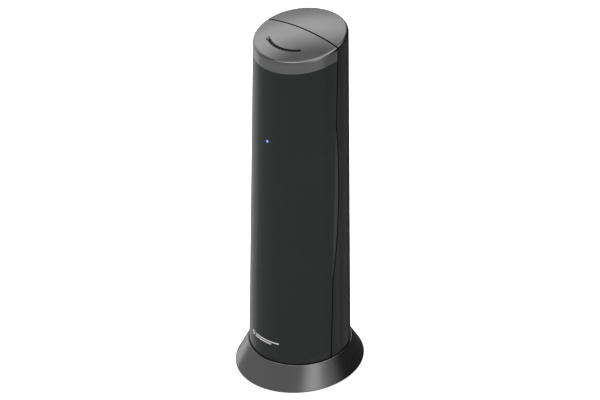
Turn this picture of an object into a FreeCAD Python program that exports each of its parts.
"""Cordless phone standing in its tower base.

The tower is one tapering oval column with a domed, forward-sloping top. A nearly upright seam splits
it: the front half is the handset, which stands keypad inwards, and the rear half is the base column,
held in a flared foot. The seam leans back a little, and the edge of the base is bowed back in the
middle so that fingers reach the sides of the handset.

Frame: +Z up, origin on the standing surface under the middle of the foot, -Y towards the front of the
phone, millimetres. Inner pieces are laid out in a "seam frame": y = 0 on the seam plane, z measured
along it from the standing surface, and placed with leaned().
"""
import FreeCAD
import Part
import math
import os

Vector = FreeCAD.Vector

# --- Tower form ------------------------------------------------------------------------------------
RIM_HEIGHT = 188.0          # middle of the top rim above the standing surface
FOOT_HEIGHT = 13.0          # top of the flared foot
LOW_HALF_WIDTH = 25.7       # tower half axes at the top of the foot
LOW_HALF_DEPTH = 26.9
TOP_HALF_WIDTH = 22.8       # tower half axes at the rim
TOP_HALF_DEPTH = 23.35
TOP_CENTRE_Y = 0.7          # the rim's middle lies this far behind the foot's middle
RIM_SLOPE = 0.166           # rise of the rim plane towards the back
DOME_RISE = 2.7             # middle of the top above the rim plane
RIM_ROUND = 1.5             # rounding between the top and the sides
FOOT_FLARE_SIDE = 6.5       # how far the foot's lower edge stands out from the tower
FOOT_FLARE_FRONT = 8.9
FOOT_HALF_WIDTH = LOW_HALF_WIDTH + FOOT_FLARE_SIDE
FOOT_HALF_DEPTH = LOW_HALF_DEPTH + FOOT_FLARE_FRONT

# --- Seam between handset and base -----------------------------------------------------------------
SEAM_FOOT_Y = -5.0          # seam at the standing surface
LEAN_DEG = 2.0              # backward lean of the seam
SEAM_GAP = 0.85
BOW_LOW = 60.0              # the finger bow of the base's edge starts and ends at these heights
BOW_HIGH = RIM_HEIGHT - 42.0
BOW_DEPTH = 2.8

# --- Walls and clearances --------------------------------------------------------------------------
COVER_WALL = 1.8
SHELL_WALL = 2.0
CASE_WALL = 1.8
CHASSIS_WALL = 1.3
SKIRT_WALL = 2.0
FIT = 0.15                  # clearance between fixed pieces that plug into each other
SLIP = 0.3                  # clearance between pieces that move past each other
HAIR = 0.1                  # hairline joint between flush pieces

# --- Handset ---------------------------------------------------------------------------------------
BAND_HEIGHT = 6.1           # side band of the metal-look cap below the rim
COVER_FOOT_GAP = 0.35       # air between the foot and the handset's glossy skin
BEAD_HEIGHT = 1.0           # end bead below the battery cover, at the front
SLOT_RADIUS = 15.7          # sound slot in the cap: an arc about the rim's middle
SLOT_WIDTH = 1.5
SLOT_HALF_ANGLE = 39.0
SLOT_RECESS = 0.45
INDICATOR_HEIGHT = RIM_HEIGHT - 48.6
INDICATOR_DIAMETER = 1.7
BOARD_DEPTH = 5.6           # keypad side of the handset's board, in front of the seam
BOARD_THICK = 1.2
MAT_THICK = 1.0
CELL_DIAMETER = 10.5        # AAA cells
CELL_LENGTH = 44.5
CELL_LOW = 34.0
CELL_DEPTH = 13.6           # cell axis in front of the seam

# --- Keys: place across, height, width, tall, in the seam frame -------------------------------------
KEY_WIDE = 9.4
KEY_TALL = 6.4
KEY_COLUMN = 12.5
KEY_ROW = 11.0
FIRST_ROW = 27.0
KEY_PROUD = 0.7
KEY_GAP = 0.25
KEY_TRAVEL = 0.5
NAV_HEIGHT = 79.0
NAV_RADIUS = 7.6
NAV_HUB_RADIUS = 3.1
LENS_LOW = 95.0
LENS_WIDE = 33.0
LENS_TALL = 35.0
EARPIECE_HEIGHT = LENS_LOW + LENS_TALL + 20.0
EARPIECE_DIAMETER = 15.0
SPEAKER_SHELF = RIM_HEIGHT - 7.1  # top of the shelf that carries the ringer's speaker

# --- Base ------------------------------------------------------------------------------------------
PANEL_RECESS = 1.6          # the cradle panel lies this far behind the base's edge
PANEL_WALL = 1.8
CAP_EDGE = 1.3              # side height of the base's cap below the rim
SEAT_FLOOR_TOP = 9.0
HANDSET_BOTTOM = SEAT_FLOOR_TOP + 0.05  # underside of the handset, in the seat's pocket
SEAT_FLOOR_THICK = 2.2
SEAT_TOP = FOOT_HEIGHT - 0.5
POCKET_INSET = 1.0
SKIRT_LOW = 0.5
SKIRT_MARGIN = 0.75         # foot's top edge outside the tower
SKIRT_GAP = 0.2             # air between the foot's ring and the tower
RING_ROUND = 0.25           # rounding of the edges round the foot's opening
BASE_BOSS_RADIUS = 2.6
PLATE_LOW = 1.0
PLATE_THICK = 1.8
PAD_DIAMETER = 9.0
PAD_RECESS = 0.6
FLANGE_TOP = SEAT_FLOOR_TOP - 1.2  # flange of the seat that the foot is caught under
BALLAST_THICK = 2.4
WELL_HALF_WIDTH = 15.0      # cord well in the underside
WELL_FRONT = 6.4
WELL_BACK = 20.0
WELL_ROOF = 12.0
WELL_WALL = 1.4
CORD_NOTCH = 5.0
JACK_OFFSET = 7.2           # the two jacks stand this far each side of the middle
BASE_BOARD_DEPTH = 8.4      # front of the base's board behind the seam
BASE_BOARD_THICK = 1.6
LOCATOR_HEIGHT = 128.0
LOCATOR_DIAMETER = 10.0
LOCATOR_PROUD = 0.5
LOCATOR_TRAVEL = 0.5
LOCATOR_FLANGE = 0.5
BOSS_OFFSET = 12.6          # screws that join the handset's case and chassis
BOSS_HEIGHTS = (17.0, LENS_LOW - 3.0, RIM_HEIGHT - 26.0)
HANDSET_BOARD_ENDS = (20.0, INDICATOR_HEIGHT + 1.6)
POST_OFFSET = 12.5          # posts that carry the base's board
POST_HEIGHTS = (36.0, RIM_HEIGHT - 42.0)
BASE_BOARD_ENDS = (POST_HEIGHTS[0] - 6.0, POST_HEIGHTS[1] + 10.0)
BASE_BOSS_Y = 4.0           # screws that join the rear shell and the bottom plate
LEAF_OFFSET = 7.0           # charge leaves stand this far each side of the middle
LEAF_ROOT_Y = -6.5
LEAF_BUMP_Y = -16.0
CLIP_WIDE = 4.0             # clips that hold the foot to its bottom plate
CLIP_LOW = 1.4
LEAD_RADIUS = 0.5

REACH = 1.8 * FOOT_HALF_DEPTH  # half size of the cutting blocks, larger than the phone is wide
TALL = 1.25 * RIM_HEIGHT
TOP_ZONE = RIM_HEIGHT - 40.0  # tools for the caps start here, well below their lowest edge


# --- Form helpers ----------------------------------------------------------------------------------
def oval(half_width, half_depth, centre_y, z):
    """Closed wire of an ellipse that starts at the same angle whatever its axes are."""
    matrix = FreeCAD.Matrix()
    matrix.scale(half_width, half_depth, 1.0)
    matrix.move(Vector(0, centre_y, z))
    return Part.Wire(Part.makeCircle(1.0).transformGeometry(matrix))


def tower_axes(z):
    """Half width, half depth and centre of the tower's outer surface at a height."""
    share = (z - FOOT_HEIGHT) / (RIM_HEIGHT - FOOT_HEIGHT)
    return (LOW_HALF_WIDTH + (TOP_HALF_WIDTH - LOW_HALF_WIDTH) * share,
            LOW_HALF_DEPTH + (TOP_HALF_DEPTH - LOW_HALF_DEPTH) * share,
            TOP_CENTRE_Y * share)


def tower(inset, low=-5.0, high=RIM_HEIGHT + 15.0):
    """The tower's tapering oval, set in by a wall, between two heights."""
    wires = []
    for z in (low, high):
        half_width, half_depth, centre_y = tower_axes(z)
        wires.append(oval(half_width - inset, half_depth - inset, centre_y, z))
    return Part.makeLoft(wires, True, True)


def dome_ball(inset):
    """Ball whose top is the domed top of the tower. Its poles and seam lie away from the dome."""
    radius = (TOP_HALF_DEPTH ** 2 + DOME_RISE ** 2) / (2 * DOME_RISE)
    normal = Vector(0, -RIM_SLOPE, 1).normalize()
    ball = Part.makeSphere(radius - inset)
    ball.rotate(Vector(0, 0, 0), Vector(0, 1, 0), 90)
    ball.translate(Vector(0, TOP_CENTRE_Y, RIM_HEIGHT) + normal * (DOME_RISE - radius))
    return ball


def tower_body(inset=0.0, low=-5.0):
    """Tower with its domed top; the outer skin also has the rounded rim."""
    body = tower(inset, low).common(dome_ball(inset))
    if inset == 0.0:
        rim = [edge for edge in body.Edges if edge.BoundBox.ZMin > RIM_HEIGHT - 10]
        body = body.makeFillet(RIM_ROUND, rim)
    return body


def ring(outer_inset, inner_inset, low=-5.0, high=RIM_HEIGHT + 15.0):
    return tower(outer_inset, low, high).cut(tower(inner_inset, low - 1.0, high + 1.0))


def side_face(corners):
    """Upright face across the phone from (y, z) corners."""
    points = [Vector(-REACH, y, z) for y, z in corners]
    return Part.Face(Part.makePolygon(points + [points[0]]))


def above_rim(drop):
    """Side profile of everything above the plane that lies this far under the rim."""
    far = 2 * REACH
    low = RIM_HEIGHT - drop
    return side_face([(TOP_CENTRE_Y - far, low - RIM_SLOPE * far),
                      (TOP_CENTRE_Y + far, low + RIM_SLOPE * far),
                      (TOP_CENTRE_Y + far, 2 * TALL), (TOP_CENTRE_Y - far, 2 * TALL)])


def below_rim(drop):
    far = 2 * REACH
    low = RIM_HEIGHT - drop
    return side_face([(TOP_CENTRE_Y - far, low - RIM_SLOPE * far), (TOP_CENTRE_Y - far, -TALL),
                      (TOP_CENTRE_Y + far, -TALL), (TOP_CENTRE_Y + far, low + RIM_SLOPE * far)])


def level(low, high=TALL):
    far = 2 * REACH
    return side_face([(-far, low), (far, low), (far, high), (-far, high)])


def leaned(shape):
    """Places a shape that was laid out in the seam frame."""
    placed = shape.copy()
    placed.translate(Vector(0, SEAM_FOOT_Y, 0))
    placed.rotate(Vector(0, SEAM_FOOT_Y, 0), Vector(1, 0, 0), -LEAN_DEG)
    return placed


def bow(z):
    """How far the seam's bow lies behind the seam plane at a height."""
    half = (BOW_HIGH - BOW_LOW) / 2
    radius = (half ** 2 + BOW_DEPTH ** 2) / (2 * BOW_DEPTH)
    away = z - (BOW_HIGH + BOW_LOW) / 2
    if abs(away) >= half:
        return 0.0
    return math.sqrt(radius ** 2 - away ** 2) - (radius - BOW_DEPTH)


def seam_face(offset, sign, bowed):
    """Side profile of one side (+1 behind, -1 in front) of the seam moved back by offset."""
    low, high = -TALL / 2, 1.5 * TALL
    far = offset + sign * 1.5 * REACH
    corners = [Vector(-REACH, offset, low), Vector(-REACH, offset, BOW_LOW),
               Vector(-REACH, offset, BOW_HIGH), Vector(-REACH, offset, high),
               Vector(-REACH, far, high), Vector(-REACH, far, low)]
    edges = [Part.makeLine(corners[i], corners[(i + 1) % 6]) for i in range(6)]
    if bowed:
        crown = Vector(-REACH, offset + BOW_DEPTH, (BOW_LOW + BOW_HIGH) / 2)
        edges[1] = Part.Arc(corners[1], crown, corners[2]).toShape()
    return leaned(Part.Face(Part.Wire(edges)))


def behind(offset, bowed=True):
    return seam_face(offset, 1, bowed)


def ahead(offset, bowed=True):
    return seam_face(offset, -1, bowed)


def bow_face(offset, start):
    """Side profile of the bow alone, from start behind the seam plane to the bow at offset."""
    return behind(start, False).common(ahead(offset)).Faces[0]


def block(*profiles):
    """Block across the whole phone whose side view is what the profiles share."""
    shared = profiles[0]
    for profile in profiles[1:]:
        shared = shared.common(profile)
    return shared.Faces[0].extrude(Vector(2 * REACH, 0, 0))


def box(x, y, z):
    """Box from three (low, high) pairs."""
    return Part.makeBox(x[1] - x[0], y[1] - y[0], z[1] - z[0], Vector(x[0], y[0], z[0]))


def rod(radius, start, along):
    """Cylinder from a start point along a vector."""
    return Part.makeCylinder(radius, along.Length, start, along)


def rounded_block(x, z, wide, tall, front, back, corner):
    """Block with rounded corners, in the seam frame: wide across, tall up, from y front to y back."""
    body = box((x - wide / 2, x + wide / 2), (front, back), (z - tall / 2, z + tall / 2))
    upright = [e for e in body.Edges if e.BoundBox.YLength > (back - front) * 0.99]
    return body.makeFillet(min(corner, wide * 0.45, tall * 0.45), upright)


def fused(shapes):
    result = shapes[0]
    for shape in shapes[1:]:
        result = result.fuse(shape)
    return result.removeSplitter()


def cut_all(shape, tools):
    for tool in tools:
        shape = shape.cut(tool)
    return shape


def screw(head_at, along, length, shank_radius=1.0, head_radius=2.0, head_thick=1.3):
    """Pan-head screw with a cross recess. head_at is the underside of the head."""
    direction = Vector(along).normalize()
    head = rod(head_radius, head_at, direction * -head_thick)
    head = head.makeFillet(head_thick * 0.35, [e for e in head.Edges
                                               if (e.CenterOfMass - head_at).Length > head_thick * 0.8
                                               and e.Length > 3 * head_radius])
    shank = rod(shank_radius, head_at, direction * length)
    across = direction.cross(Vector(1, 0.3, 0.2)).normalize()
    top = head_at - direction * head_thick
    recess = []
    for arm in (across, direction.cross(across)):
        side = direction.cross(arm)
        start = top - arm * head_radius * 0.6 - side * 0.25
        wire = Part.makePolygon([start, start + arm * head_radius * 1.2,
                                 start + arm * head_radius * 1.2 + side * 0.5,
                                 start + side * 0.5, start])
        recess.append(Part.Face(wire).extrude(direction * head_thick * 0.6))
    return cut_all(head.fuse(shank), recess)


# --- Keys ------------------------------------------------------------------------------------------
def face_y(z):
    """Seam-frame depth of the handset's keypad face at a height."""
    return -SEAM_GAP / 2 + bow(z)


def key_table():
    """Name: (x, z, wide, tall, corner) of every block key, as read from behind the handset."""
    table = {}
    rows = (("star", "0", "hash"), ("7", "8", "9"), ("4", "5", "6"), ("1", "2", "3"))
    for row, names in enumerate(rows):
        for column, name in enumerate(names):
            table["key_" + name] = ((1 - column) * KEY_COLUMN, FIRST_ROW + row * KEY_ROW,
                                    KEY_WIDE, KEY_TALL, KEY_TALL * 0.42)
    call_height = FIRST_ROW + 4 * KEY_ROW + 1.5
    menu_height = call_height + KEY_ROW + 1.5
    for side, call, menu in ((1, "key_talk", "key_soft_left"), (-1, "key_off", "key_soft_right")):
        table[call] = (side * (KEY_COLUMN + 1.2), call_height, KEY_WIDE - 1.0, KEY_TALL + 2.0, 3.0)
        table[menu] = (side * (KEY_COLUMN + 1.2), menu_height, KEY_WIDE - 1.0, KEY_TALL, 2.4)
    return table


KEYS = key_table()


def lowest_face(z, tall):
    return min(face_y(z - tall / 2), face_y(z + tall / 2), face_y(z))


def block_key(x, z, wide, tall, corner):
    """Key cap with a retaining flange behind the case and a foot above its rubber dome."""
    top = face_y(z) + KEY_PROUD
    flange_top = lowest_face(z, tall + 1.2) - CASE_WALL - HAIR
    foot = -BOARD_DEPTH + MAT_THICK + 2 * HAIR + KEY_TRAVEL
    cap = rounded_block(x, z, wide, tall, flange_top - 0.1, top, corner)
    outer = [e for e in cap.Edges if e.BoundBox.YMin > top - 0.01]
    cap = cap.makeFillet(0.45, outer)
    flange = rounded_block(x, z, wide + 1.0, tall + 1.0, flange_top - 0.7, flange_top, corner)
    stem = rod(1.6, Vector(x, foot, z), Vector(0, flange_top - 0.3 - foot, 0))
    return leaned(fused([cap, flange, stem]))


def nav_pieces():
    """Rocker ring and the select key in its middle."""
    top = face_y(NAV_HEIGHT) + KEY_PROUD
    flange_top = lowest_face(NAV_HEIGHT, 2 * NAV_RADIUS + 1.2) - CASE_WALL - HAIR - 0.5
    foot = -BOARD_DEPTH + MAT_THICK + 2 * HAIR + KEY_TRAVEL
    at = Vector(0, flange_top - 0.8, NAV_HEIGHT)
    rocker = rod(NAV_RADIUS, at, Vector(0, top - at.y, 0))
    rocker = rocker.makeFillet(0.6, [e for e in rocker.Edges if e.BoundBox.YMin > top - 0.01])
    flange = rod(NAV_RADIUS + 0.5, at, Vector(0, 0.8, 0))
    bore = rod(NAV_HUB_RADIUS + SLIP, at - Vector(0, 2, 0), Vector(0, 20, 0))
    rocker = rocker.fuse(flange).cut(bore)
    hub = rod(NAV_HUB_RADIUS, Vector(0, foot, NAV_HEIGHT), Vector(0, top - 0.2 - foot, 0))
    hub = hub.makeFillet(0.5, [e for e in hub.Edges if e.BoundBox.YMin > top - 0.3])
    return leaned(rocker), leaned(hub)


# --- Handset ---------------------------------------------------------------------------------------
def slot_region(width, low, high):
    """Arc-shaped slot with round ends, as an upright prism."""
    centre = Vector(0, TOP_CENTRE_Y, low)
    height = high - low
    outer = Part.makeCylinder(SLOT_RADIUS + width / 2, height, centre)
    inner = Part.makeCylinder(SLOT_RADIUS - width / 2, height, centre)
    half = math.radians(SLOT_HALF_ANGLE)
    far = 2 * SLOT_RADIUS
    wedge = Part.Face(Part.makePolygon([
        centre, centre + Vector(far * math.sin(half), -far * math.cos(half), 0),
        centre + Vector(0, -2 * far, 0),
        centre + Vector(-far * math.sin(half), -far * math.cos(half), 0), centre]))
    arc = outer.cut(inner).common(wedge.extrude(Vector(0, 0, height)))
    ends = [Part.makeCylinder(width / 2, height, centre + Vector(
        side * SLOT_RADIUS * math.sin(half), -SLOT_RADIUS * math.cos(half), 0)) for side in (-1, 1)]
    return fused([arc] + ends)


def handset_top_cap():
    outer = tower_body().common(block(ahead(-SEAM_GAP / 2, False), above_rim(BAND_HEIGHT)))
    hollow = tower_body(COVER_WALL, TOP_ZONE).common(block(ahead(-SEAM_GAP / 2 - CASE_WALL, False)))
    return outer.cut(hollow).cut(slot_region(SLOT_WIDTH, TOP_ZONE, TALL))


def ringer_slot_insert():
    """Dark insert in the cap's slot, pierced by a row of sound holes, with a flange under the cap."""
    bar = slot_region(SLOT_WIDTH - 0.06, TOP_ZONE, TALL)
    bar = bar.common(dome_ball(SLOT_RECESS)).cut(dome_ball(COVER_WALL + 0.9))
    flange = slot_region(SLOT_WIDTH + 2.0, TOP_ZONE, TALL)
    flange = flange.common(dome_ball(COVER_WALL + 0.05)).cut(dome_ball(COVER_WALL + 0.9))
    insert = fused([bar, flange]).common(tower(COVER_WALL + FIT, TOP_ZONE))
    holes = []
    count = 11
    for i in range(count):
        angle = math.radians(SLOT_HALF_ANGLE * 0.92 * (2 * i / (count - 1) - 1))
        holes.append(Part.makeCylinder(0.35, 60.0, Vector(
            SLOT_RADIUS * math.sin(angle), TOP_CENTRE_Y - SLOT_RADIUS * math.cos(angle), TOP_ZONE)))
    return cut_all(insert, holes)


def cover_joint_drop(rise):
    """Drop under the rim of the cover's lower joint, which runs parallel to the cap's band."""
    front_y = -tower_axes(FOOT_HEIGHT)[1]
    return RIM_HEIGHT + RIM_SLOPE * (front_y - TOP_CENTRE_Y) - (
        FOOT_HEIGHT + COVER_FOOT_GAP + BEAD_HEIGHT + rise)


def battery_cover():
    """Glossy skin of the handset, from the band down to the end bead."""
    skin = ring(0.0, COVER_WALL).common(block(
        ahead(-SEAM_GAP / 2, False), below_rim(BAND_HEIGHT + HAIR),
        above_rim(cover_joint_drop(HAIR))))
    window = rod(INDICATOR_DIAMETER / 2, Vector(0, -REACH, INDICATOR_HEIGHT), Vector(0, REACH, 0))
    return skin.cut(window)


def indicator_lens():
    """Clear plug in the cover's indicator hole, with a flange inside."""
    at = Vector(0, -REACH, INDICATOR_HEIGHT)
    plug = rod(INDICATOR_DIAMETER / 2 - 0.03, at, Vector(0, REACH, 0))
    plug = plug.common(tower(-0.05)).cut(tower(COVER_WALL + SLIP - 0.12))
    return plug


def handset_chassis():
    """Inner body of the handset: shell, end bead, foot that plugs into the seat, and battery tray."""
    outset = COVER_WALL + SLIP
    inner = outset + CHASSIS_WALL
    back = -SEAM_GAP / 2 - CASE_WALL - HAIR
    floor_top = HANDSET_BOTTOM + CHASSIS_WALL
    top = below_rim(BAND_HEIGHT - 2.5)
    shell = ring(outset, inner).common(block(ahead(back, False), level(HANDSET_BOTTOM), top))
    floor = tower(outset).common(block(ahead(back, False), level(HANDSET_BOTTOM, floor_top)))
    shelf = tower(outset).common(block(ahead(back, False), top,
                                       level(SPEAKER_SHELF - 1.5, SPEAKER_SHELF)))
    bead_range = (level(FOOT_HEIGHT + COVER_FOOT_GAP), below_rim(cover_joint_drop(0.0)))
    bead = ring(0.0, inner - 0.2).common(block(ahead(back, False), *bead_range))
    bead_ends = ring(0.0, COVER_WALL).common(block(
        ahead(-SEAM_GAP / 2, False), behind(back - 1.0, False), *bead_range))
    tray_low = CELL_LOW - 2.5
    tray_high = CELL_LOW + CELL_LENGTH + 2.5
    tray_half = CELL_DIAMETER + 1.2
    tray_front = -CELL_DEPTH - CELL_DIAMETER
    floor_y = -CELL_DEPTH + CELL_DIAMETER / 2 + 0.2
    tray = leaned(box((-tray_half - 1.2, tray_half + 1.2), (tray_front, floor_y + 1.0),
                      (tray_low - 1.2, tray_high + 1.2))).common(tower(outset + 0.1))
    well = leaned(box((-tray_half, tray_half), (tray_front - REACH, floor_y),
                      (tray_low, tray_high)))
    pieces = [shell, floor, shelf, bead, bead_ends, tray]
    tools = [well, rod(1.4, Vector(0, -REACH, INDICATOR_HEIGHT), Vector(0, REACH - 12, 0)),
             Part.makeCylinder(5.4, 7.0, speaker_top() - Vector(0, 0, 6.0))]
    for x, z in case_bosses():
        pieces.append(leaned(rod(3.1, Vector(x, -REACH, z),
                                 Vector(0, REACH + screw_seat_y() + 1.6, 0))
                             ).common(tower(outset + 0.1)))
        tools.append(leaned(rod(1.0, Vector(x, -REACH, z), Vector(0, REACH - BOARD_DEPTH, 0))))
        tools.append(leaned(rod(2.3, Vector(x, -REACH, z),
                                Vector(0, REACH + screw_seat_y(), 0))))
    for side in (-1, 1):
        tools.append(box((side * LEAF_OFFSET - 2.6, side * LEAF_OFFSET + 2.6),
                         (LEAF_BUMP_Y - 2.6, LEAF_BUMP_Y + 2.6), (0, floor_top + 0.5)))
    body = pieces[0]
    for piece in pieces[1:]:
        body = body.fuse(piece)
    return cut_all(body, tools)


def case_bosses():
    """Places of the screws that join case and chassis, in the seam frame."""
    return [(side * BOSS_OFFSET, z) for z in BOSS_HEIGHTS for side in (-1, 1)]


def screw_seat_y():
    return -BOARD_DEPTH - 8.0


def handset_front_case():
    """Keypad side of the handset. Its sides bulge out to the skin where the base's edge is bowed."""
    face = -SEAM_GAP / 2
    outset = COVER_WALL + FIT
    plate = tower(outset).common(block(ahead(face), behind(face - CASE_WALL),
                                       below_rim(BAND_HEIGHT + HAIR), level(HANDSET_BOTTOM)))
    bulge = ring(0.0, COVER_WALL + CASE_WALL).common(block(bow_face(face, face + HAIR)))
    case = plate.fuse(bulge)
    for x, z in case_bosses():
        start = screw_seat_y() + 1.8
        case = case.fuse(leaned(rod(2.3, Vector(x, start, z),
                                    Vector(0, face_y(z) - CASE_WALL / 2 - start, 0))))
    tools = [leaned(rod(0.8, Vector(x, -REACH, z), Vector(0, REACH - 2.4, 0)))
             for x, z in case_bosses()]
    for x, z, wide, tall, corner in KEYS.values():
        tools.append(leaned(rounded_block(x, z, wide + 2 * KEY_GAP, tall + 2 * KEY_GAP, -8.0, 8.0,
                                          corner + KEY_GAP)))
    tools.append(leaned(rod(NAV_RADIUS + KEY_GAP, Vector(0, -8, NAV_HEIGHT), Vector(0, 16, 0))))
    tools.append(lens_block(0.08, -8.0).common(block(behind(face - 1.25))))
    tools.append(lens_block(-2.0, -8.0))
    for i in range(5):
        drift = (i - 2) * 2.2
        tools.append(leaned(rounded_block(drift, EARPIECE_HEIGHT, 1.1,
                                          7.0 - abs(drift) * 0.55, -8.0, 8.0, 0.5)))
    tools.append(leaned(rod(0.6, Vector(0, -8, mic_height()), Vector(0, 16, 0))))
    return cut_all(case, tools)


def lens_block(grow, front):
    return leaned(rounded_block(0, LENS_LOW + LENS_TALL / 2, LENS_WIDE + 2 * grow,
                                LENS_TALL + 2 * grow, front, 8.0, 2.6 + grow))


def display_lens():
    face = -SEAM_GAP / 2
    return lens_block(0.0, -8.0).common(block(ahead(face - 0.05), behind(face - 1.2)))


def display_module():
    """Glass sandwich on its light guide, standing on the board."""
    middle = LENS_LOW + LENS_TALL / 2
    glass_y = -3.0
    glass = rounded_block(0, middle, 31.0, 31.0, glass_y, -1.75, 0.6)
    frame = rounded_block(0, middle, 33.0, 33.0, -BOARD_DEPTH + 0.1, glass_y, 1.0)
    return leaned(fused([glass, frame]))


def mic_height():
    return FIRST_ROW - 9.5


def handset_circuit_board():
    low, high = HANDSET_BOARD_ENDS
    board = rounded_block(0, (low + high) / 2, 33.0, high - low,
                          -BOARD_DEPTH - BOARD_THICK, -BOARD_DEPTH, 1.5)
    tools = [rod(2.7, Vector(x, -12, z), Vector(0, 10, 0)) for x, z in case_bosses()]
    return leaned(cut_all(board, tools))


def keypad_mat():
    """Silicone sheet with one dome under each key."""
    low = FIRST_ROW - 5.0
    high = LENS_LOW - 3.0
    mat = rounded_block(0, (low + high) / 2, 32.4, high - low,
                        -BOARD_DEPTH + 0.05, -BOARD_DEPTH + MAT_THICK * 0.6, 1.5)
    domes = []
    spots = [(x, z) for x, z, *_ in KEYS.values()] + [(0, NAV_HEIGHT)]
    for x, z in spots:
        domes.append(Part.makeCone(2.4, 1.7, MAT_THICK * 0.45,
                                   Vector(x, -BOARD_DEPTH + MAT_THICK * 0.58, z), Vector(0, 1, 0)))
    tools = [rod(2.7, Vector(x, -12, z), Vector(0, 10, 0)) for x, z in case_bosses()]
    return leaned(cut_all(fused([mat] + domes), tools))


def earpiece_speaker():
    height = EARPIECE_HEIGHT + 3.0
    back = lowest_face(height, EARPIECE_DIAMETER) - CASE_WALL - HAIR
    can = rod(EARPIECE_DIAMETER / 2, Vector(0, back - 0.9, height), Vector(0, -2.2, 0))
    rim = rod(EARPIECE_DIAMETER / 2 - 1.0, Vector(0, back, height), Vector(0, -1.0, 0))
    return leaned(can.fuse(rim))


def speaker_top():
    return Vector(0, TOP_CENTRE_Y - 10.5, SPEAKER_SHELF + 1.7)


def ringer_speaker():
    """Loudspeaker under the sound slot: basket, cone and magnet."""
    top = speaker_top()
    frame = Part.makeCylinder(8.3, 1.6, top - Vector(0, 0, 1.6))
    dish = Part.makeCone(3.0, 7.2, 1.0, top - Vector(0, 0, 0.9))
    magnet = Part.makeCylinder(5.0, 2.8, top - Vector(0, 0, 4.2))
    return frame.cut(dish).fuse(magnet)


def microphone():
    back = -SEAM_GAP / 2 - CASE_WALL - HAIR
    return leaned(rod(2.0, Vector(0, back, mic_height()), Vector(0, -1.6, 0)))


def battery_cells():
    """Two cells side by side, nubs at opposite ends."""
    cells = []
    for side in (-1, 1):
        nub = 0.9
        low = CELL_LOW + (nub if side < 0 else 0.0)
        can = rod(CELL_DIAMETER / 2, Vector(0, 0, low), Vector(0, 0, CELL_LENGTH - nub))
        can = can.makeFillet(0.5, [e for e in can.Edges if e.Length > 2 * CELL_DIAMETER])
        tip_low = CELL_LOW if side < 0 else CELL_LOW + CELL_LENGTH - nub
        cell = can.fuse(rod(1.9, Vector(0, 0, tip_low), Vector(0, 0, nub)))
        cell.translate(Vector(side * (CELL_DIAMETER / 2 + 0.3), -CELL_DEPTH, 0))
        cells.append(leaned(cell))
    return Part.makeCompound(cells)


def battery_terminals():
    """Plates and conical coil contacts at both ends of the battery tray."""
    pieces = []
    for side in (-1, 1):
        x = side * (CELL_DIAMETER / 2 + 0.3)
        for end in (-1, 1):
            wall = CELL_LOW - 2.5 if end < 0 else CELL_LOW + CELL_LENGTH + 2.5
            inner = wall - end * 0.5
            plate = box((x - 4.0, x + 4.0), (-CELL_DEPTH - 4.0, -CELL_DEPTH + 4.0),
                        (min(wall, inner), max(wall, inner)))
            spring_end = CELL_LOW if end < 0 else CELL_LOW + CELL_LENGTH
            is_spring = (side > 0) == (end < 0)
            reach = abs(spring_end - inner) - 0.1
            if is_spring:
                post = Part.makeCone(3.6, 2.0, reach, Vector(x, -CELL_DEPTH, inner),
                                     Vector(0, 0, -end))
                hollow = Part.makeCone(2.9, 1.3, reach, Vector(x, -CELL_DEPTH, inner),
                                       Vector(0, 0, -end))
                post = post.cut(hollow)
            else:
                post = rod(1.4, Vector(x, -CELL_DEPTH, inner), Vector(0, 0, -end * reach))
            pieces.append(leaned(plate.fuse(post)))
    return Part.makeCompound(pieces)


def handset_charge_plates():
    """Charging contacts: a face in the chassis floor's hole under a wider flange."""
    low = SEAT_FLOOR_TOP + 0.75
    flange_low = HANDSET_BOTTOM + CHASSIS_WALL + 0.05
    plates = []
    for side in (-1, 1):
        x = side * LEAF_OFFSET
        face = box((x - 2.45, x + 2.45), (LEAF_BUMP_Y - 2.45, LEAF_BUMP_Y + 2.45),
                   (low, flange_low + 0.4))
        flange = box((x - 3.3, x + 3.3), (LEAF_BUMP_Y - 3.3, LEAF_BUMP_Y + 3.3),
                     (flange_low, flange_low + 0.4))
        plates.append(face.fuse(flange))
    return Part.makeCompound(plates)


def handset_screws():
    pieces = []
    for x, z in case_bosses():
        pieces.append(leaned(screw(Vector(x, screw_seat_y(), z), Vector(0, 1, 0), 8.0, 0.78)))
    return Part.makeCompound(pieces)


def indicator_led():
    """Light-emitting chip package on the board, looking forwards at the cover's lens."""
    y = -BOARD_DEPTH - BOARD_THICK
    height = INDICATOR_HEIGHT - 1.5
    base = box((-1.6, 1.6), (y - 1.4, y), (height - 1.6, height + 1.6))
    bulb = rod(1.2, Vector(0, y - 1.4, height), Vector(0, -2.6, 0))
    return leaned(base.fuse(bulb))


def handset_shield():
    """Radio shield can on the front side of the board, above the battery tray."""
    y = -BOARD_DEPTH - BOARD_THICK
    can = rounded_block(0, LENS_LOW + 17.0, 24.0, 26.0, y - 3.0, y, 1.5)
    return leaned(can.makeFillet(0.4, [e for e in can.Edges if e.BoundBox.YMax < y - 2.99]))


def handset_antenna():
    """Bent strip aerial at the top of the board."""
    y = -BOARD_DEPTH - BOARD_THICK
    low = HANDSET_BOARD_ENDS[1] - 8.0
    strip = box((-14.5, -3.0), (y - 4.4, y - 4.0), (low, low + 3.5))
    leg = box((-14.5, -11.5), (y - 4.2, y), (low, low + 0.4))
    return leaned(fused([strip, leg]))


# --- Base ------------------------------------------------------------------------------------------
def shell_low():
    """Lower edge of the rear shell, inside the foot."""
    return SEAT_FLOOR_TOP - 2.5


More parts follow.
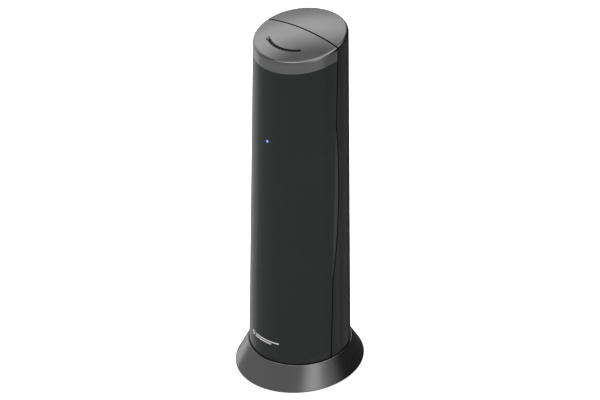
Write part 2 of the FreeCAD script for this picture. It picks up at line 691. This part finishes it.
def base_rear_shell():
    """Rear half of the tower, open at the front, top and bottom, with two screw bosses."""
    low = shell_low()
    wall = ring(0.0, SHELL_WALL).common(block(behind(SEAM_GAP / 2), below_rim(CAP_EDGE + HAIR),
                                              level(low)))
    for side in (-1, 1):
        x = side * base_boss_x()
        boss = rod(BASE_BOSS_RADIUS, Vector(x, BASE_BOSS_Y, low), Vector(0, 0, 9.0))
        web = box((min(x, side * LOW_HALF_WIDTH), max(x, side * LOW_HALF_WIDTH)),
                  (BASE_BOSS_Y - 1.0, BASE_BOSS_Y + 1.0), (low, low + 9.0))
        wall = wall.fuse(boss.fuse(web).common(tower(SHELL_WALL / 2)))
    pilots = [rod(1.0, Vector(side * base_boss_x(), BASE_BOSS_Y, 0), Vector(0, 0, low + 7.5))
              for side in (-1, 1)]
    return cut_all(wall, pilots)


def base_boss_x():
    return LOW_HALF_WIDTH - SHELL_WALL - 3.2


def base_top_cap():
    """Metal-look lid of the base column, with a wall along the seam and a lip inside the shell."""
    front = SEAM_GAP / 2
    lid = tower_body().common(block(behind(front, False), above_rim(CAP_EDGE)))
    hollow = tower_body(COVER_WALL, TOP_ZONE).common(block(behind(front + COVER_WALL, False)))
    lip = ring(SHELL_WALL + FIT, SHELL_WALL + FIT + 1.3, TOP_ZONE)
    lip = lip.common(block(behind(front + 12.0, False), above_rim(CAP_EDGE + 4.0),
                           below_rim(CAP_EDGE - 0.5)))
    return lid.cut(hollow).fuse(lip)


def panel_front():
    return SEAM_GAP / 2 + PANEL_RECESS


def base_cradle_panel():
    """Face of the base that the keypad looks at: a bowed plate with side flanges."""
    inset = SHELL_WALL + FIT
    ends = (below_rim(CAP_EDGE + HAIR), level(SEAT_FLOOR_TOP - SEAT_FLOOR_THICK))
    panel = tower(inset).common(block(behind(panel_front()), ahead(panel_front() + PANEL_WALL),
                                      *ends))
    flange = ring(inset, inset + 1.4).common(block(behind(panel_front() + 0.5),
                                                   ahead(panel_front() + 7.0), *ends))
    panel = panel.fuse(flange)
    for x, z in board_posts():
        start = panel_front() + bow(z) + PANEL_WALL / 2
        panel = panel.fuse(leaned(rod(2.4, Vector(x, start, z),
                                      Vector(0, BASE_BOARD_DEPTH - HAIR - start, 0))))
    tools = [leaned(rod(LOCATOR_DIAMETER / 2 + KEY_GAP, Vector(0, -5, LOCATOR_HEIGHT),
                        Vector(0, 20, 0)))]
    tools += [leaned(rod(0.8, Vector(x, panel_front() + bow(z) + PANEL_WALL, z),
                         Vector(0, 20, 0))) for x, z in board_posts()]
    clear = base_boss_x() - 3.0
    for side in (-1, 1):
        tools.append(box((min(side * clear, side * REACH), max(side * clear, side * REACH)),
                         (BASE_BOSS_Y - 3.2, BASE_BOSS_Y + 3.2), (0, SEAT_FLOOR_TOP + 8.0)))
    return cut_all(panel, tools)


def board_posts():
    return [(side * POST_OFFSET, z) for side in (-1, 1) for z in POST_HEIGHTS]


def base_circuit_board():
    low, high = BASE_BOARD_ENDS
    board = rounded_block(0, (low + high) / 2, 32.0, high - low,
                          BASE_BOARD_DEPTH, BASE_BOARD_DEPTH + BASE_BOARD_THICK, 1.5)
    tools = [rod(0.9, Vector(x, 0, z), Vector(0, 20, 0)) for x, z in board_posts()]
    return leaned(cut_all(board, tools))


def base_board_screws():
    back = BASE_BOARD_DEPTH + BASE_BOARD_THICK
    return Part.makeCompound([leaned(screw(Vector(x, back, z), Vector(0, -1, 0), 4.5, 0.78))
                              for x, z in board_posts()])


def base_shield():
    y = BASE_BOARD_DEPTH + BASE_BOARD_THICK
    can = rounded_block(0, LOCATOR_HEIGHT - 24.0, 24.0, 30.0, y, y + 3.2, 1.5)
    return leaned(can.makeFillet(0.4, [e for e in can.Edges if e.BoundBox.YMin > y + 3.19]))


def base_antennas():
    """Two bent strip aerials near the top of the board."""
    y = BASE_BOARD_DEPTH + BASE_BOARD_THICK
    low = BASE_BOARD_ENDS[1] - 6.0
    pieces = []
    for side in (-1, 1):
        inner, outer = side * 2.0, side * 14.0
        strip = box((min(inner, outer), max(inner, outer)), (y + 4.6, y + 5.0), (low, low + 4.5))
        leg = box((min(outer, outer - side * 3), max(outer, outer - side * 3)),
                  (y, y + 4.8), (low, low + 0.4))
        pieces.append(leaned(fused([strip, leg])))
    return Part.makeCompound(pieces)


def base_capacitors():
    """Two electrolytic capacitors near the jacks."""
    y = BASE_BOARD_DEPTH + BASE_BOARD_THICK
    cans = []
    for side in (-1, 1):
        can = rod(4.0, Vector(side * 7.0, y, BASE_BOARD_ENDS[0] + 17.0), Vector(0, 7.5, 0))
        cans.append(leaned(can.makeFillet(0.5, [e for e in can.Edges if e.BoundBox.YMin > y + 7])))
    return Part.makeCompound(cans)


def locator_face():
    return panel_front() + bow(LOCATOR_HEIGHT)


def locator_back():
    """Rear of the button's flange, which lies behind the deepest bow next to it."""
    deepest = bow(LOCATOR_HEIGHT - LOCATOR_DIAMETER / 2 - 1.0)
    return panel_front() + deepest + PANEL_WALL + HAIR + LOCATOR_FLANGE


def locator_button():
    """Round button with a flange behind the panel."""
    face = locator_face() - LOCATOR_PROUD
    cap = rod(LOCATOR_DIAMETER / 2, Vector(0, face, LOCATOR_HEIGHT),
              Vector(0, locator_back() - face, 0))
    cap = cap.makeFillet(0.4, [e for e in cap.Edges if e.BoundBox.YMax < face + 0.1])
    flange = rod(LOCATOR_DIAMETER / 2 + 1.0,
                 Vector(0, locator_back() - LOCATOR_FLANGE, LOCATOR_HEIGHT),
                 Vector(0, LOCATOR_FLANGE, 0))
    return leaned(fused([cap, flange]))


def locator_switch():
    front = locator_back() + LOCATOR_TRAVEL + HAIR
    body = box((-3.0, 3.0), (front + 0.3, BASE_BOARD_DEPTH),
               (LOCATOR_HEIGHT - 3.0, LOCATOR_HEIGHT + 3.0))
    plunger = rod(1.5, Vector(0, front, LOCATOR_HEIGHT), Vector(0, 0.5, 0))
    return leaned(body.fuse(plunger))


def foot_axes(z, inset=0.0):
    """Half width, half depth and centre of the flared foot at a height."""
    half_width, half_depth, centre_y = tower_axes(FOOT_HEIGHT)
    share = (z - SKIRT_LOW) / (FOOT_HEIGHT - SKIRT_LOW)
    top_width, top_depth = half_width + SKIRT_MARGIN, half_depth + SKIRT_MARGIN
    return (FOOT_HALF_WIDTH + (top_width - FOOT_HALF_WIDTH) * share - inset,
            FOOT_HALF_DEPTH + (top_depth - FOOT_HALF_DEPTH) * share - inset, centre_y * share)


def foot_cone(inset, low, high):
    return Part.makeLoft([oval(*foot_axes(z, inset), z) for z in (low, high)], True, True)


def tower_ring(outset, low, high):
    """Upright prism of the tower's outline at the top of the foot."""
    half_width, half_depth, centre_y = tower_axes(FOOT_HEIGHT)
    wire = oval(half_width + outset, half_depth + outset, centre_y, low)
    return Part.Face(wire).extrude(Vector(0, 0, high - low))


def cord_channels(low, high):
    """Two channels from the cord well to the back of the foot."""
    return [box((side * JACK_OFFSET - CORD_NOTCH / 2, side * JACK_OFFSET + CORD_NOTCH / 2),
                (WELL_BACK - 2.0, REACH), (low, high)) for side in (-1, 1)]


def clips(grow, inset, low, high):
    """Four clip blocks round the rim of the bottom plate, reaching out to an inset of the foot."""
    blocks = []
    for angle in (40, 140, 220, 320):
        clip = box((0, 2 * FOOT_HALF_DEPTH), (-CLIP_WIDE / 2 - grow, CLIP_WIDE / 2 + grow),
                   (low - grow, high + grow))
        clip.rotate(Vector(0, 0, 0), Vector(0, 0, 1), angle)
        core = Part.makeCylinder(FOOT_HALF_WIDTH - 6.0, 40.0, Vector(0, 0, -10))
        blocks.append(clip.cut(core).common(foot_cone(inset, SKIRT_LOW, FOOT_HEIGHT)))
    return blocks


def base_foot_skirt():
    """Flared foot ring, open below and round the tower, with two cord notches at the back."""
    skirt = foot_cone(0.0, SKIRT_LOW, FOOT_HEIGHT)
    bottom = [e for e in skirt.Edges if e.BoundBox.ZMax < SKIRT_LOW + 0.01]
    skirt = skirt.makeFillet(0.5, bottom)
    skirt = skirt.cut(foot_cone(SKIRT_WALL, SKIRT_LOW - 1.0, FLANGE_TOP + HAIR))
    skirt = skirt.cut(tower(-SKIRT_GAP, -1.0, TALL))
    rim = [e for e in skirt.Edges if e.BoundBox.ZMin > FOOT_HEIGHT - 0.01]
    skirt = skirt.makeFillet(RING_ROUND, rim)
    tools = cord_channels(-1.0, PLATE_LOW + CORD_NOTCH)
    return cut_all(skirt, tools + clips(0.1, SKIRT_WALL - 0.9, CLIP_LOW, CLIP_LOW + 1.0))


def plate_outline(low, high):
    """Upright prism that fits inside the skirt at its widest."""
    half_width, half_depth, centre_y = foot_axes(high, SKIRT_WALL + FIT)
    wire = oval(half_width, half_depth, centre_y, low)
    return Part.Face(wire).extrude(Vector(0, 0, high - low))


def plate_top():
    return PLATE_LOW + PLATE_THICK


def foot_pads():
    return [(side * 17.5, -17.0) for side in (-1, 1)] + [(side * 21.0, 12.0) for side in (-1, 1)]


def front_bosses():
    return [(side * 16.0, -7.0) for side in (-1, 1)]


def well_block(grow, low, high):
    """The cord well's room, grown by its wall; the tower's shell limits it at the back."""
    room = box((-WELL_HALF_WIDTH - grow, WELL_HALF_WIDTH + grow),
               (WELL_FRONT - grow, WELL_BACK + grow), (low, high))
    inset = SHELL_WALL + SLIP + WELL_WALL - grow
    return room.common(tower_ring(-inset, low - 1.0, high + 1.0))


def jack_holes(grow, low, high):
    """Openings in the well's roof for the two jacks."""
    line = box((JACK_OFFSET - 5.6 - grow, JACK_OFFSET + 5.6 + grow),
               (jack_y() - 4.6 - grow, jack_y() + 4.6 + grow), (low, high))
    power = Part.makeCylinder(4.1 + grow, high - low, Vector(-JACK_OFFSET, jack_y(), low))
    return [line, power]


def jack_y():
    return (WELL_FRONT + WELL_BACK) / 2


def base_bottom_plate():
    """Underside of the foot with the cord well, its channels, screw holes and pad recesses."""
    plate = plate_outline(PLATE_LOW, plate_top())
    plate = plate.fuse(well_block(WELL_WALL, PLATE_LOW, WELL_ROOF + WELL_WALL))
    for side in (-1, 1):
        plate = plate.fuse(rod(BASE_BOSS_RADIUS, Vector(side * base_boss_x(), BASE_BOSS_Y, PLATE_LOW),
                               Vector(0, 0, SEAT_FLOOR_TOP - 2.6 - PLATE_LOW)))
    for clip in clips(0.0, SKIRT_WALL - 0.7, CLIP_LOW, CLIP_LOW + 1.0):
        plate = plate.fuse(clip)
    tools = [well_block(0.0, -1.0, WELL_ROOF)]
    tools += cord_channels(-1.0, PLATE_LOW + CORD_NOTCH) + jack_holes(0.0, 0.0, WELL_ROOF + 5)
    for x, y in foot_pads():
        tools.append(rod(PAD_DIAMETER / 2 + HAIR, Vector(x, y, -1),
                         Vector(0, 0, 1 + PLATE_LOW + PAD_RECESS)))
    seats = [(x, y, 1.0) for x, y in front_bosses()]
    seats += [(side * base_boss_x(), BASE_BOSS_Y, 1.4) for side in (-1, 1)]
    for x, y, deep in seats:
        tools.append(rod(1.2, Vector(x, y, 0), Vector(0, 0, 20)))
        tools.append(rod(2.3, Vector(x, y, 0), Vector(0, 0, PLATE_LOW + deep)))
    return cut_all(plate, tools)


def rubber_feet():
    pads = []
    for x, y in foot_pads():
        pad = rod(PAD_DIAMETER / 2, Vector(x, y, 0), Vector(0, 0, PLATE_LOW + PAD_RECESS))
        pads.append(pad.makeFillet(0.4, [e for e in pad.Edges if e.BoundBox.ZMax < 0.01]))
    return Part.makeCompound(pads)


def ballast_plate():
    """Steel weight on the bottom plate, cleared for the screws, the leaves and the cord well."""
    low = plate_top() + 0.1
    half_width, half_depth, _ = foot_axes(low + BALLAST_THICK, SKIRT_WALL + 1.5)
    plate = Part.Face(oval(half_width, half_depth, 0, low)).extrude(Vector(0, 0, BALLAST_THICK))
    tools = [box((-REACH, REACH), (WELL_FRONT - WELL_WALL - 0.3, REACH), (0, 20))]
    tools.append(ring(-SLIP, SHELL_WALL + SLIP, shell_low() - SLIP, 20.0))
    for x, y in front_bosses():
        tools.append(rod(3.2, Vector(x, y, 0), Vector(0, 0, 20)))
    for side in (-1, 1):
        x = side * LEAF_OFFSET
        tools.append(box((x - LEAD_RADIUS - SLIP, x + LEAD_RADIUS + SLIP), (LEAF_ROOT_Y, REACH),
                         (lead_height() - LEAD_RADIUS - SLIP, 20.0)))
        tools.append(rod(3.3, Vector(side * base_boss_x(), BASE_BOSS_Y, 0), Vector(0, 0, 20)))
        tools.append(box((side * LEAF_OFFSET - 3.0, side * LEAF_OFFSET + 3.0),
                         (LEAF_BUMP_Y - 5.0, LEAF_ROOT_Y + 3.5), (0, 20)))
    return cut_all(plate, tools)


def charging_seat():
    """Pocket in the foot that the handset's lower end stands in, with guides for the leaves."""
    low = SEAT_FLOOR_TOP - SEAT_FLOOR_THICK
    rim = tower(FIT - SKIRT_GAP, low, SEAT_TOP).common(block(ahead(SEAM_GAP / 2 - HAIR, False)))
    tongue = tower(SHELL_WALL + FIT + 0.1).common(block(
        ahead(panel_front() - HAIR, False), behind(-3.0, False), level(low, SEAT_TOP)))
    flange = foot_cone(SKIRT_WALL + FIT, low, FLANGE_TOP).common(
        block(ahead(SEAM_GAP / 2 - HAIR, False)))
    seat = rim.fuse(tongue).fuse(flange)
    seat = seat.cut(tower(POCKET_INSET, SEAT_FLOOR_TOP, TALL))
    for x, y in front_bosses():
        seat = seat.fuse(rod(BASE_BOSS_RADIUS, Vector(x, y, plate_top() + HAIR),
                             Vector(0, 0, low + 1.0 - plate_top() - HAIR)))
    strip_z = leaf_strip_z()
    for side in (-1, 1):
        x = side * LEAF_OFFSET
        seat = seat.fuse(box((x - 2.9, x + 2.9), (LEAF_ROOT_Y - 1.5, LEAF_ROOT_Y + 1.5),
                             (strip_z - 0.9, low + 0.5)))
    tools = [rod(1.0, Vector(x, y, 0), Vector(0, 0, SEAT_FLOOR_TOP - 0.8))
             for x, y in front_bosses()]
    for side in (-1, 1):
        x = side * LEAF_OFFSET
        tools.append(box((x - 2.3, x + 2.3), (LEAF_BUMP_Y - 2.9, LEAF_BUMP_Y + 2.9), (0, 20)))
        tools.append(box((x - 2.1, x + 2.1), (LEAF_ROOT_Y - 3.0, LEAF_ROOT_Y + 3.0),
                         (strip_z - 0.3, strip_z + 0.7)))
    return cut_all(seat, tools)


def leaf_strip_z():
    return SEAT_FLOOR_TOP - SEAT_FLOOR_THICK - 0.9


def charge_leaf(side):
    """Sprung strip with a rounded bump that rises through the seat's floor."""
    thick, wide = 0.4, 3.6
    strip_z = leaf_strip_z()
    top = SEAT_FLOOR_TOP + 0.7
    x = side * LEAF_OFFSET - wide / 2
    bump_low = strip_z + thick
    path = [(LEAF_ROOT_Y + 2.0, strip_z), (LEAF_BUMP_Y + 2.4, strip_z),
            (LEAF_BUMP_Y + 1.6, top - 1.4)]
    outer_arc = ((LEAF_BUMP_Y + 1.6, top - 1.4), (LEAF_BUMP_Y, top), (LEAF_BUMP_Y - 1.6, top - 1.4))
    inner_arc = ((LEAF_BUMP_Y - 1.6 + thick, top - 1.4), (LEAF_BUMP_Y, top - thick),
                 (LEAF_BUMP_Y + 1.6 - thick, top - 1.4))

    def point(pair):
        return Vector(x, pair[0], pair[1])

    edges = [
        Part.makeLine(point(path[0]), point(path[1])),
        Part.makeLine(point(path[1]), point((LEAF_BUMP_Y + 1.6 - thick, top - 1.4 - thick))),
        Part.makeLine(point((LEAF_BUMP_Y + 1.6 - thick, top - 1.4 - thick)), point(inner_arc[2])),
        Part.Arc(point(inner_arc[2]), point(inner_arc[1]), point(inner_arc[0])).toShape(),
        Part.makeLine(point(inner_arc[0]), point((LEAF_BUMP_Y - 1.6 + thick, bump_low))),
        Part.makeLine(point((LEAF_BUMP_Y - 1.6 + thick, bump_low)),
                      point((LEAF_BUMP_Y - 1.6, bump_low))),
        Part.makeLine(point((LEAF_BUMP_Y - 1.6, bump_low)), point(outer_arc[2])),
        Part.Arc(point(outer_arc[2]), point(outer_arc[1]), point(outer_arc[0])).toShape(),
        Part.makeLine(point(outer_arc[0]), point((LEAF_BUMP_Y + 2.6, bump_low))),
        Part.makeLine(point((LEAF_BUMP_Y + 2.6, bump_low)), point((LEAF_ROOT_Y + 2.0, bump_low))),
        Part.makeLine(point((LEAF_ROOT_Y + 2.0, bump_low)), point(path[0])),
    ]
    return Part.Face(Part.Wire(edges)).extrude(Vector(wide, 0, 0))


def dc_inlet():
    """Round power inlet that looks down into the cord well, with its centre pin."""
    low = WELL_ROOF + WELL_WALL + HAIR
    body = box((-JACK_OFFSET - 4.6, -JACK_OFFSET + 4.6), (jack_y() - 5.2, jack_y() + 4.4),
               (low, low + 11.0))
    collar = rod(4.0, Vector(-JACK_OFFSET, jack_y(), WELL_ROOF + 0.2), Vector(0, 0, 3))
    bore = rod(2.9, Vector(-JACK_OFFSET, jack_y(), 0), Vector(0, 0, low + 9.0))
    pin = rod(0.95, Vector(-JACK_OFFSET, jack_y(), WELL_ROOF + 1.2),
              Vector(0, 0, low + 9.5 - WELL_ROOF - 1.2))
    return body.fuse(collar).cut(bore).fuse(pin)


def line_jack():
    """Six-position modular socket that looks down into the cord well."""
    low = WELL_ROOF + 0.2
    high = WELL_ROOF + 14.5
    x, y = JACK_OFFSET, jack_y()
    body = box((x - 5.5, x + 5.5), (y - 4.5, y + 4.5), (low, high))
    body = body.fuse(box((x - 6.6, x + 6.6), (y - 5.6, y + 5.0),
                         (WELL_ROOF + WELL_WALL + HAIR, high)))
    socket = box((x - 4.85, x + 4.85), (y - 2.9, y + 3.8), (0, low + 12.4))
    latch = box((x - 1.6, x + 1.6), (y - 4.0, y), (0, low + 7.0))
    return body.cut(socket).cut(latch)


def line_jack_contacts():
    """Four sprung wires along the back wall of the modular socket."""
    wires = []
    for i in range(4):
        x = JACK_OFFSET + (i - 1.5) * 1.27
        start = Vector(x, jack_y() + 3.55, WELL_ROOF + 12.5)
        wires.append(rod(0.2, start, Vector(0, -0.6, -8.0)))
    return Part.makeCompound(wires)


def lead_height():
    return leaf_strip_z() + 0.2


def base_leads():
    """Insulated leads to the base's board: two from the charge leaves and one from each jack."""
    radius, bend = LEAD_RADIUS, 3.0
    low = lead_height()
    leads = []
    for side in (-1, 1):
        x = side * LEAF_OFFSET
        top = Vector(x, SEAM_FOOT_Y + 8.8, BASE_BOARD_ENDS[0] + 4.0)
        corner = Vector(x, top.y, low)
        start = Vector(x, LEAF_ROOT_Y + 2.1, low)
        first = corner - Vector(0, bend, 0)
        last = corner + Vector(0, 0, bend)
        middle = corner + Vector(0, -bend, bend) * (1 - math.sqrt(0.5))
        spine = Part.Wire([Part.makeLine(start, first), Part.Arc(first, middle, last).toShape(),
                           Part.makeLine(last, top)])
        ring_wire = Part.Wire(Part.makeCircle(radius, start, Vector(0, 1, 0)))
        leads.append(spine.makePipeShell([ring_wire], True, True))
    for x, z in ((-JACK_OFFSET, WELL_ROOF + WELL_WALL + 11.9), (JACK_OFFSET, WELL_ROOF + 15.3)):
        start = Vector(x, jack_y() - 1.0, z)
        end = Vector(x, SEAM_FOOT_Y + BASE_BOARD_DEPTH + BASE_BOARD_THICK + 2.3, BASE_BOARD_ENDS[0] + 6.0)
        leads.append(rod(radius, start, end - start))
    return Part.makeCompound(leads)


def base_screws():
    seat_length = SEAT_FLOOR_TOP - PLATE_LOW - 2.4
    shell_length = shell_low() + 5.9 - PLATE_LOW - 1.4
    pieces = [screw(Vector(x, y, PLATE_LOW + 1.0), Vector(0, 0, 1), seat_length, 0.95)
              for x, y in front_bosses()]
    pieces += [screw(Vector(side * base_boss_x(), BASE_BOSS_Y, PLATE_LOW + 1.4),
                     Vector(0, 0, 1), shell_length, 0.95) for side in (-1, 1)]
    return Part.makeCompound(pieces)


# --- Build -----------------------------------------------------------------------------------------
def nodes():
    made = {function.__name__: function() for function in (
        handset_top_cap, ringer_slot_insert, battery_cover, indicator_lens, handset_chassis,
        handset_front_case, display_lens, display_module, handset_circuit_board, keypad_mat,
        earpiece_speaker, ringer_speaker, microphone, battery_cells, battery_terminals,
        handset_charge_plates, handset_screws, indicator_led, handset_shield, handset_antenna,
        base_rear_shell, base_top_cap, base_cradle_panel, base_circuit_board, base_board_screws,
        base_shield, base_antennas, base_capacitors, locator_button, locator_switch,
        base_foot_skirt, base_bottom_plate, rubber_feet, ballast_plate, charging_seat, dc_inlet,
        line_jack, line_jack_contacts, base_leads, base_screws)}
    for name, place in KEYS.items():
        made[name] = block_key(*place)
    made["nav_rocker"], made["nav_select"] = nav_pieces()
    made["charge_leaf_left"] = charge_leaf(-1)
    made["charge_leaf_right"] = charge_leaf(1)
    return made


os.makedirs("parts", exist_ok=True)
for node, shape in nodes().items():
    assert shape.isValid() and all(s.Volume > 0 for s in shape.Solids) and shape.Solids, node
    shape.exportStep(f"parts/{node}.step")
